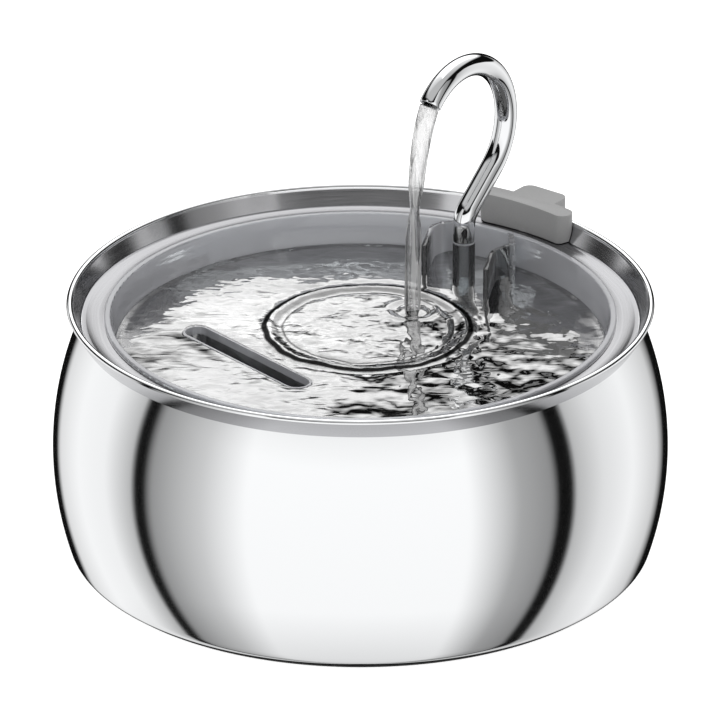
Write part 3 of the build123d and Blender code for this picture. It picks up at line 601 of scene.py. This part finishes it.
# ---- bowl ----
class FOUNTAIN_OT_bowl(bpy.types.Operator):
    """Drawn steel bowl with a barrel side, a step at the neck, a flared rim and a folded hem"""

    bl_idname = "fountain.bowl"
    bl_label = "Bowl"

    def execute(self, context):
        s = context.scene.fountain_bowl
        side = (s.belly_radius - s.belly_arc, s.belly_z)
        base_z, neck_z = s.foot_height, s.lip_z - s.rim_height
        corner_z = base_z + s.corner
        reach = s.belly_arc - s.corner
        corner = (side[0] + math.sqrt(reach**2 - (s.belly_z - corner_z) ** 2), corner_z)
        low = math.degrees(math.atan2(corner_z - side[1], corner[0] - side[0]))
        hem_z = s.lip_z - s.hem_drop
        neck = math.degrees(math.asin((neck_z - s.belly_z) / s.belly_arc))
        hem = math.degrees(math.asin((hem_z - s.belly_z) / s.belly_arc))
        inner_arc = s.belly_arc - s.sheet
        inner_neck = math.degrees(math.asin((neck_z - s.belly_z) / inner_arc))
        neck_out = arc(side, s.belly_arc, neck, neck, 1)[0]
        neck_in = arc(side, inner_arc, inner_neck, inner_neck, 1)[0]
        roll = (neck_out[0] + s.rim_flare - s.rim_width / 2, s.lip_z - s.rim_width / 2)
        outline = [(0, base_z)] + arc(corner, s.corner, -90, low, 8)
        outline += arc(side, s.belly_arc, low, hem, 64)[1:]
        hem_edge, step = (outline[-1][0] + s.hem_stand, hem_z), (neck_in[0] + s.shelf, neck_z)
        bead = arc(roll, s.rim_width / 2, 0, 180, 16)
        # a point close to each end of the roll keeps the walls beside it flat to the light
        close = 0.06
        outline += [hem_edge, between(bead[0], hem_edge, close)] + bead
        outline += [between(bead[-1], step, close), step]
        outline += arc(side, inner_arc, inner_neck, low, 48)
        outline += arc(corner, s.corner - s.sheet, low, -90, 6)[1:] + [(0, base_z + s.sheet)]
        bowl = lathe(outline, 288)
        # both sides of the rim are brushed, below the polished roll
        for face in bowl.faces:
            at = face.calc_center_median()
            face.material_index = int(hem_z < at.z < roll[1] and at.xy.length > hem_edge[0])
        piece = add_piece("drawn_bowl", bowl, "bowl_steel", "bowl", ("bowl",))
        piece.data.materials.append(finish("rim_steel"))
        start, end, chamfer = corner[0] - s.foot_width, corner[0], 0.3 * MM
        outline = [(start, chamfer), (start + chamfer, 0), (end - chamfer, 0), (end, chamfer)]
        outline += [(end, base_z), (start, base_z)]
        add_piece("soft_foot", lathe(outline, 192), "black_rubber", "bowl", ("foot_ring",))
        return {"FINISHED"}


class FOUNTAIN_OT_gutter(bpy.types.Operator):
    """Pressed steel ring between bowl and tray, with a notch for the lead"""

    bl_idname = "fountain.gutter"
    bl_label = "Gutter ring"

    def execute(self, context):
        s = context.scene.fountain_bowl
        flat_z, edge_z = s.lip_z - s.rim_height, s.lip_z - s.ring_drop
        start_r = s.ring_edge - s.gutter_width
        # the gutter's top is a parabola through the flat lip, a low line 0.4 across and the outer band
        low_at, rise = 0.4, edge_z - flat_z
        gutter = s.gutter_width - s.ring_land
        bend = (rise + s.gutter_drop / low_at) / (1 - low_at)
        lean = rise - bend
        shares = [i / 24 for i in range(25)]
        top = [(start_r - s.flat_lip, flat_z)]
        top += [(start_r + t * gutter, flat_z + lean * t + bend * t * t) for t in shares]
        top += [(s.ring_edge, edge_z)]
        under = [(r, z - s.ring_sheet) for r, z in top]
        outline = top + under[::-1]
        sharp = 50
        ring = add_piece(
            "pressed_gutter", lathe(outline, 256), "gutter_steel", "bowl", ("gutter_ring",), sharp
        )
        notch, size = bmesh.new(), 20 * MM
        bmesh.ops.create_cube(notch, size=1)
        bmesh.ops.scale(notch, vec=(size, s.lead_notch, size), verts=notch.verts)
        bmesh.ops.translate(notch, vec=(s.lead_way + size / 2, 0, flat_z), verts=notch.verts)
        bmesh.ops.rotate(notch, matrix=Matrix.Rotation(s.lead_side, 3, "Z"), verts=notch.verts)
        cutter = as_object("lead_notch", notch)
        cut = ring.modifiers.new("notch", "BOOLEAN")
        cut.object = cutter
        bake(ring, sharp)
        bpy.data.objects.remove(cutter)
        return {"FINISHED"}


# ---- tray, standpipe, spout ----
class FOUNTAIN_OT_tray(bpy.types.Operator):
    """Clear moulded drinking tray with its weir and collar, and the clear standpipe"""

    bl_idname = "fountain.tray"
    bl_label = "Drinking tray"

    def execute(self, context):
        smooth_copy("drinking_tray", "clear_tray", "tray", "clear_plastic")
        smooth_copy("riser_tube", "clear_standpipe", "tray", "clear_plastic")
        return {"FINISHED"}


def swept_tube(s):
    """A bmesh of the gooseneck in its own upright plane: a ring of faces led up, round the foot's bend,
    up the leaning run and round the loop."""
    rise = s.loop_z - s.turn_z
    lean = math.asin(s.loop_radius / math.hypot(rise, s.loop_inset)) - math.atan2(s.loop_inset, rise)
    bend_z = s.turn_z - s.bend * math.tan(lean / 2)
    bore = s.radius - s.wall
    bm = bmesh.new()
    foot = Matrix.Translation((0, 0, s.foot_z))
    for radius in (s.radius, bore):
        bmesh.ops.create_circle(bm, segments=48, radius=radius, matrix=foot)
    bmesh.ops.bridge_loops(bm, edges=bm.edges)
    end = list(bm.faces)

    def region(faces):
        verts = {v for f in faces for v in f.verts}
        edges = {e for f in faces for e in f.edges}
        return list(verts) + list(edges) + list(faces)

    def lead(faces, vec, parts=1):
        for _ in range(parts):
            made = bmesh.ops.extrude_face_region(bm, geom=region(faces))["geom"]
            verts = [g for g in made if isinstance(g, bmesh.types.BMVert)]
            bmesh.ops.translate(bm, vec=Vector(vec) / parts, verts=verts)
            faces = [g for g in made if isinstance(g, bmesh.types.BMFace)]
        return faces

    def wind(faces, centre, angle, steps):
        made = bmesh.ops.spin(
            bm, geom=region(faces), cent=centre, axis=(0, 1, 0), angle=angle, steps=steps
        )["geom_last"]
        return [g for g in made if isinstance(g, bmesh.types.BMFace)]

    end = lead(end, (0, 0, bend_z - s.foot_z))
    end = wind(end, (s.bend, 0, bend_z), lean, 12)
    start = Vector((s.bend - s.bend * math.cos(lean), 0, bend_z + s.bend * math.sin(lean)))
    centre = Vector((-s.loop_inset, 0, s.loop_z))
    loop = centre + s.loop_radius * Vector((math.cos(lean), 0, -math.sin(lean)))
    end = lead(end, loop - start, 6)
    wind(end, centre, -(lean + s.outlet), 72)
    return tidied(bm)


class FOUNTAIN_OT_spout(bpy.types.Operator):
    """Bent and polished steel gooseneck on its swaged spigot, and the silicone sleeve under it"""

    bl_idname = "fountain.spout"
    bl_label = "Spout"

    def execute(self, context):
        s = context.scene.fountain_spout
        tube = swept_tube(s)
        rims = [e for e in tube.edges if e.calc_face_angle(0) > math.radians(60)]
        bmesh.ops.bevel(
            tube, geom=rims, offset=0.2 * MM, segments=2, affect="EDGES", profile=0.5, material=-1
        )
        spigot_bore = s.spigot - s.wall
        low, top = s.spigot_z, s.foot_z + s.wall / 2
        spigot = lathe([(spigot_bore, low), (s.spigot, low), (s.spigot, top), (spigot_bore, top)], 48)
        part = bpy.data.meshes.new("spigot")
        spigot.to_mesh(part)
        spigot.free()
        tube.from_mesh(part)
        bpy.data.meshes.remove(part)
        place = Matrix.Translation(standpipe_foot()) @ Matrix.Rotation(s.plane, 4, "Z")
        bmesh.ops.transform(tube, matrix=place, verts=tube.verts)
        add_piece("gooseneck", tube, "spout_steel", "spout", ("spout_tube",), 50)
        smooth_copy("spout_sleeve", "spout_seal", "sleeve", "clear_silicone")
        return {"FINISHED"}


# ---- clip, filter, pump ----
class FOUNTAIN_OT_clip(bpy.types.Operator):
    """Silicone saddle that holds the lead on the rim, its edges rounded as moulded"""

    bl_idname = "fountain.clip"
    bl_label = "Lead clip"

    def execute(self, context):
        bm = merged_copy("lead_clip")
        bmesh.ops.dissolve_limit(bm, angle_limit=math.radians(2), verts=bm.verts, edges=bm.edges)
        rims = [e for e in bm.edges if e.calc_face_angle(0) > math.radians(40)]
        bmesh.ops.bevel(
            bm,
            geom=rims,
            offset=0.35 * MM,
            segments=3,
            affect="EDGES",
            profile=0.5,
            material=-1,
            clamp_overlap=True,
        )
        # a thin flap that the lead pushes aside where it goes in under the clip
        s = context.scene.fountain_bowl
        size = (0.5 * MM, s.lead_notch - 0.4 * MM, 2.4 * MM)
        middle = (s.lead_way - 0.1 * MM, 0, s.lip_z - s.rim_height + 1.4 * MM)
        flap = bmesh.ops.create_cube(bm, size=1)["verts"]
        bmesh.ops.scale(bm, vec=size, verts=flap)
        bmesh.ops.translate(bm, vec=middle, verts=flap)
        bmesh.ops.rotate(bm, matrix=Matrix.Rotation(s.lead_side, 3, "Z"), verts=flap)
        add_piece("rim_saddle", bm, "clip_silicone", "clip", ("lead_clip",), 40)
        return {"FINISHED"}


def soft_block(node, name, body, slot, cell, fluff):
    """A cut block of foam or fleece in a CAD node's place: remeshed to cells and roughened by fluff."""
    piece = add_piece(name, merged_copy(node), slot, body, (node,))
    grid = piece.modifiers.new("cells", "REMESH")
    grid.mode, grid.voxel_size = "VOXEL", cell
    bake(piece, 180)
    for vertex in piece.data.vertices:
        at = vertex.co / (2.5 * cell)
        vertex.co -= vertex.normal * fluff * (0.6 + noise.noise(at) + 0.5 * noise.noise(at * 3))
    piece.data.materials.clear()
    piece.data.materials.append(finish(slot))


class FOUNTAIN_OT_filter(bpy.types.Operator):
    """Filter cassette: shell, lid, fleece pad, carbon and resin"""

    bl_idname = "fountain.filter"
    bl_label = "Filter cassette"

    def execute(self, context):
        dress("filter_plastic", "filter_basket", "filter_lid")
        dress("carbon_granules", "carbon_bed")
        dress("resin_beads", "resin_bed")
        soft_block("filter_pad", "fleece_pad", "cassette", "filter_fleece", 0.6 * MM, 0.12 * MM)
        return {"FINISHED"}


class FOUNTAIN_OT_pump(bpy.types.Operator):
    """Pump, its motor, knob, sponge, feet and hose"""

    bl_idname = "fountain.pump"
    bl_label = "Pump"

    def execute(self, context):
        dress("pump_plastic", "pump_housing", "volute_plate", "pump_cover", "flow_knob")
        dress("black_rubber", "front_bush", "rear_bush", "lead_gland")
        dress("clear_silicone", "suction_cups", "outlet_hose")
        dress("shaft_ceramic", "impeller_shaft")
        dress("impeller_plastic", "impeller_wheel")
        dress("magnet_ferrite", "rotor_magnet")
        dress("core_iron", "stator_core")
        dress("bobbin_plastic", "coil_bobbin")
        dress("copper", "stator_coil")
        dress("board_green", "driver_board")
        dress("potting_resin", "potting")
        soft_block("pump_sponge", "intake_sponge", "cover", "foam", 0.8 * MM, 0.15 * MM)
        return {"FINISHED"}


# ---- water ----
def smooth_step(low, high, value):
    """0 below low, 1 above high, and a smooth rise between."""
    t = min(1, max(0, (value - low) / (high - low)))
    return t * t * (3 - 2 * t)


def hump(value, width):
    """A round hump of height 1 at 0, about two widths across."""
    return math.exp(-((value / width) ** 2))


def ripple(x, y, wave, seed, detail=2):
    """Uneven ripples between about -1 and 1; x, y and wave in mm."""
    place = Vector((x / wave, y / wave, seed))
    return noise.fractal(place, 0.9, 2.0, detail, noise_basis="PERLIN_ORIGINAL")


def water_height(x, y, s, outfall):
    """Height of the water over its level at a point; outfall is where the stream lands. All in mm."""
    # draw-down over the weir and into the slot
    sx, sy = x - s.slot_x / MM, y - s.slot_y / MM
    along = sx * math.cos(s.slot_side) + sy * math.sin(s.slot_side)
    aside = sy * math.cos(s.slot_side) - sx * math.sin(s.slot_side)
    off = math.hypot(max(0, abs(along) - s.slot_half / MM), aside)
    dip = -0.35 * (1 - smooth_step(4, 12, off)) - 11 * (1 - smooth_step(3.0, 5.0, off))
    # standing rings
    rx, ry = x - s.ring_x / MM, y - s.ring_y / MM
    big, around = math.hypot(rx, ry) - s.ring_radius / MM, math.atan2(ry, rx)
    uneven = 1 + 0.5 * ripple(around * 12, 0, 2.0, 3.3)
    rings = uneven * (0.5 * hump(big, 1.7) - 0.4 * hump(big + 4.2, 1.8) - 0.3 * hump(big - 4.2, 2.0))
    near = math.hypot(x - outfall[0], y - outfall[1])
    small = near - s.splash_radius / MM
    rings += 0.35 * hump(small, 1.2) - 0.35 * hump(small + 3.0, 1.3) + 0.9 * hump(near, 2.6)
    # chop, calm along the back and stronger inside the ring
    calm = 1 - 0.75 * smooth_step(50, 66, y)
    inside = 1 - smooth_step(-4, 4, big)
    left = 1 - smooth_step(-55, -30, x)
    chop = 0.30 * ripple(x, y * 0.8, 11, 0.5) + 0.10 * ripple(x, y * 0.5, 3.6, 7.7)
    fine = inside * 0.10 * ripple(x * 1.6, y * 0.5, 4.0, 2.2)
    return dip + rings + (chop * (1 - 0.6 * left) + fine) * calm * smooth_step(4, 9, off)


class FOUNTAIN_OT_water(bpy.types.Operator):
    """Water in the tray with the ripples of the falling stream, and the stream itself"""

    bl_idname = "fountain.water"
    bl_label = "Water"

    def execute(self, context):
        s, t = context.scene.fountain_water, context.scene.fountain_spout
        inwards = -Vector((math.cos(t.plane), math.sin(t.plane), 0))
        outlet = standpipe_foot() + inwards * (t.loop_inset - t.loop_radius * math.cos(t.outlet))
        outlet.z = t.loop_z + t.loop_radius * math.sin(t.outlet)
        outfall = (outlet + inwards * s.stream_reach) / MM
        # rings of vertices, and how high and over what width the water climbs the wall, in mm
        rings, climb, climb_width = 200, 0.35, 3
        fillet = (s.wall_foot + 2.2 * MM, s.floor + 2.4 * MM)
        outline = [(0, s.floor), (s.wall_foot, s.floor), fillet]
        outline += [(s.wall_top * (1 - i / rings), s.level) for i in range(rings + 1)]
        pool = lathe(outline, 360)
        for vertex in pool.verts:
            if vertex.co.z > s.level - 0.01 * MM:
                x, y = vertex.co.xy / MM
                wall = s.wall_top / MM
                free = smooth_step(wall, wall - climb_width, math.hypot(x, y))
                vertex.co.z += (water_height(x, y, s, outfall) * free + climb * (1 - free)) * MM
        add_piece("tray_water", pool, "water", "tray", sharp=180)

        # the stream is a unit tube first, whose height is the share of the fall, and ends in the water
        steps, dive, flight, waist_at = 120, 6 * MM, 18 * MM, 0.45
        drop = outlet.z - s.level + dive
        profile = [(0, 0)] + [(1, i / steps) for i in range(steps + 1)] + [(0, 1)]
        stream = lathe(profile, 32)
        for vertex in stream.verts:
            share = vertex.co.z
            fallen = drop * share
            waist = hump(share - waist_at, 0.075)
            wide = s.stream_start + (s.stream_foot - s.stream_start) * smooth_step(0, 0.35, share)
            wide += (s.stream_waist - wide) * waist
            deep = (2.2 + 0.9 * waist) * MM
            off = Vector((vertex.co.x * wide, vertex.co.y * deep, -fallen))
            off.rotate(Matrix.Rotation(0.5 * (share - waist_at), 3, "Z"))
            vertex.co = outlet + inwards * s.stream_reach * (1 - math.exp(-fallen / flight)) + off
        bmesh.ops.recalc_face_normals(stream, faces=stream.faces)
        add_piece("falling_stream", stream, "stream", "spout", sharp=180)
        return {"FINISHED"}


# ---- stage ----
def studio(tree):
    """The world: white to the eye, even on matt surfaces, and on shiny ones a studio of soft boxes with
    black flags between them, so that the steel shows bands."""
    place = add(tree, "TexCoord").outputs["Generated"]
    x, y, z = add(tree, "SeparateXYZ", {0: place}).outputs
    front = add(tree, "Math", {0: y, 1: -1.0}, operation="MULTIPLY")
    bearing = add(tree, "Math", {0: x, 1: front}, operation="ARCTAN2")
    bearing = add(tree, "Math", {0: bearing}, operation="DEGREES")
    aside = add(tree, "Math", {0: bearing}, operation="ABSOLUTE")
    aside = add(tree, "Math", {0: aside, 1: 180.0}, operation="DIVIDE")
    height = add(tree, "Math", {0: z}, operation="ARCSINE")
    height = add(tree, "Math", {0: height}, operation="DEGREES")

    def by_angle(angle, stops, low, high):
        share = add(tree, "MapRange", {"Value": angle, "From Min": low, "From Max": high})
        stops = [((at - low) / (high - low), value) for at, value in stops]
        return set_stops(add(tree, "ValToRGB", {"Fac": share}), stops)

    # soft boxes and flags round the object, by bearing: 0 in front, 90 at the right
    boxes = [(-180, 0), (-157, 0), (-150, 215), (-128, 245), (-108, 240), (-92, 180), (-91, 0)]
    boxes += [(-86, 0), (-82, 145), (-60, 200), (-42, 250), (40, 250), (60, 165), (74, 140), (77, 0)]
    boxes += [(84, 0), (85, 180), (100, 222), (120, 242), (145, 200), (156, 0)]
    band = by_angle(bearing, greys(boxes), -180, 180)
    fades = plain([(-90, 0.55), (-60, 0.75), (-40, 0.97), (12, 1.0), (30, 0.86)])
    fade = by_angle(height, fades, -90, 90)
    # how high the boxes reach, and where the ceiling's light starts: height / 90 by bearing / 180
    tops = [(0, 0.297), (0.06, 0.297), (0.12, 0.288), (0.19, 0.286), (0.24, 0.5), (0.36, 0.5)]
    tops += [(0.45, 0.22), (0.52, 0.2), (0.6, 0.06), (0.66, 0.04), (0.8, 0.04), (0.87, 0.2), (1, 0.2)]
    box_top = by_angle(aside, plain(tops), 0, 1)
    lows = [(0, 0.44), (0.2, 0.55), (0.35, 0.6), (0.55, 0.5), (0.67, 0.4), (0.78, 0.3)]
    lows += [(0.87, 0.22), (1, 0.21)]
    sky_low = by_angle(aside, plain(lows), 0, 1)
    skies = [(0, 150), (0.5, 150), (0.75, 190), (0.87, 255), (1, 255)]
    sky = by_angle(aside, greys(skies), 0, 1)
    rise = add(tree, "Math", {0: height, 1: 90.0}, operation="DIVIDE")
    under = add(tree, "Math", {0: box_top, 1: rise}, operation="SUBTRACT")
    over = add(tree, "Math", {0: rise, 1: sky_low}, operation="SUBTRACT")
    in_box = add(tree, "MapRange", {"Value": under, "From Min": -0.012, "From Max": 0.012})
    sky_edge = {"Value": over, "From Min": -0.045, "From Max": 0.045, "To Max": 1.5}
    in_sky = add(tree, "MapRange", sky_edge)
    boxed_in = add(tree, "Math", {0: band, 1: fade}, operation="MULTIPLY")
    lit = add(tree, "Math", {0: boxed_in, 1: in_box, 2: 0.004}, operation="MULTIPLY_ADD")
    seen = add(tree, "Math", {0: sky, 1: in_sky, 2: lit}, operation="MULTIPLY_ADD")
    pattern = add(tree, "Math", {0: seen, 1: 1.25}, operation="MULTIPLY")
    path = add(tree, "LightPath").outputs
    even = add(tree, "Background", {"Color": grey(255), "Strength": 0.9})
    boxed = add(tree, "Background", {"Color": grey(255), "Strength": pattern})
    white = add(tree, "Background", {"Color": grey(255), "Strength": 1.0})
    light = add(tree, "MixShader", {0: path["Is Glossy Ray"], 1: even, 2: boxed})
    return add(tree, "MixShader", {0: path["Is Camera Ray"], 1: light, 2: white})


class FOUNTAIN_OT_stage(bpy.types.Operator):
    """Pale floor, studio light and camera"""

    bl_idname = "fountain.stage"
    bl_label = "Stage"

    def execute(self, context):
        scene = context.scene
        bm = bmesh.new()
        bmesh.ops.create_circle(bm, cap_ends=True, segments=96, radius=FLOOR_RADIUS)
        floor = as_object("floor", bm)
        floor.visible_glossy = False
        floor.data.materials.append(new_material("White paper", white_paper, {}))

        world = bpy.data.worlds.new("Studio")
        world.use_nodes = True
        world.node_tree.nodes.clear()
        add(world.node_tree, "OutputWorld", {"Surface": studio(world.node_tree)})
        world.cycles.sampling_method = "NONE"
        scene.world = world

        camera = bpy.data.objects.new("camera", bpy.data.cameras.new("camera"))
        camera.data.lens, camera.data.sensor_width = CAMERA_LENS, 36
        camera.location = CAMERA_PLACE
        camera.rotation_euler = (CAMERA_AIM - CAMERA_PLACE).to_track_quat("-Z", "Y").to_euler()
        scene.collection.objects.link(camera)
        scene.camera = camera
        scene.view_settings.view_transform = "Standard"
        return {"FINISHED"}


class FOUNTAIN_PT_panel(bpy.types.Panel):
    """Lists the fountain's pieces and settings"""

    bl_idname = "FOUNTAIN_PT_panel"
    bl_label = "Pet Water Fountain"
    bl_space_type = "VIEW_3D"
    bl_region_type = "UI"
    bl_category = "Fountain"

    def draw(self, context):
        for operator in OPERATORS:
            self.layout.operator(operator.bl_idname)
        for name in SETTINGS:
            group = getattr(context.scene, name)
            box = self.layout.box()
            for key in group.bl_rna.properties.keys():
                if key not in ("rna_type", "name"):
                    box.prop(group, key)


OPERATORS = (
    FOUNTAIN_OT_bowl,
    FOUNTAIN_OT_gutter,
    FOUNTAIN_OT_tray,
    FOUNTAIN_OT_spout,
    FOUNTAIN_OT_clip,
    FOUNTAIN_OT_filter,
    FOUNTAIN_OT_pump,
    FOUNTAIN_OT_water,
    FOUNTAIN_OT_stage,
)
SETTINGS = {
    "fountain_bowl": BowlSizes,
    "fountain_spout": SpoutSizes,
    "fountain_water": WaterSizes,
    "fountain_finishes": Finishes,
}


def register():
    """Registers the settings, the operators and the panel."""
    for name, group in SETTINGS.items():
        bpy.utils.register_class(group)
        setattr(bpy.types.Scene, name, bpy.props.PointerProperty(type=group))
    for item in OPERATORS + (FOUNTAIN_PT_panel,):
        bpy.utils.register_class(item)


def unregister():
    """Takes back what register did."""
    for item in (FOUNTAIN_PT_panel,) + OPERATORS[::-1]:
        bpy.utils.unregister_class(item)
    for name, group in SETTINGS.items():
        delattr(bpy.types.Scene, name)
        bpy.utils.unregister_class(group)


def main():
    """Builds the whole fountain."""
    register()
    for operator in OPERATORS:
        getattr(bpy.ops.fountain, operator.bl_idname.split(".")[1])()


if __name__ == "__main__":
    main()
